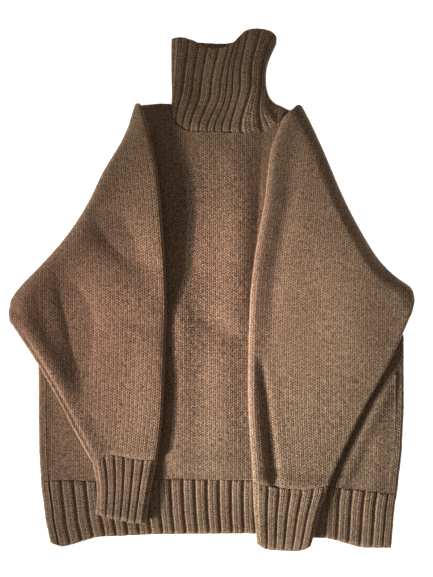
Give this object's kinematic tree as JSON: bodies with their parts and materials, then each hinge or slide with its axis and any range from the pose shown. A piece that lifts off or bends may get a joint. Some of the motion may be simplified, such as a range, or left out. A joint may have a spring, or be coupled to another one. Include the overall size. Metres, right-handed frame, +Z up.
{
  "type": "turtleneck sweater",
  "caption": "Chunky knitted raglan turtleneck sweater, lying on its back with both sleeves folded over the front.",
  "frame": {"origin": "middle of the bounding box's bottom face, on the floor that the back lies on", "axes": "+X to the right as the front is seen from above, +Y from the hem to the collar, +Z up out of the front"},
  "size_m": [0.6404, 0.833, 0.0283],
  "materials": {
    "wool_back": "matte bulky wool, stocking stitch",
    "wool_front": "matte bulky wool, stocking stitch",
    "rib_hem_back": "matte bulky wool, rib knit",
    "rib_hem_front": "matte bulky wool, rib knit",
    "wool_sleeve_left": "matte bulky wool, stocking stitch",
    "wool_sleeve_right": "matte bulky wool, stocking stitch",
    "rib_cuff_left": "matte bulky wool, rib knit",
    "rib_cuff_right": "matte bulky wool, rib knit",
    "rib_collar": "matte bulky wool, rib knit"
  },
  "bodies": {
    "root": {"body_back": "wool_back", "body_front": "wool_front", "hem_back": "rib_hem_back", "hem_front": "rib_hem_front", "sleeve_left": "wool_sleeve_left", "sleeve_right": "wool_sleeve_right", "cuff_left": "rib_cuff_left", "cuff_right": "rib_cuff_right", "collar": "rib_collar"}
  },
  "joints": []
}
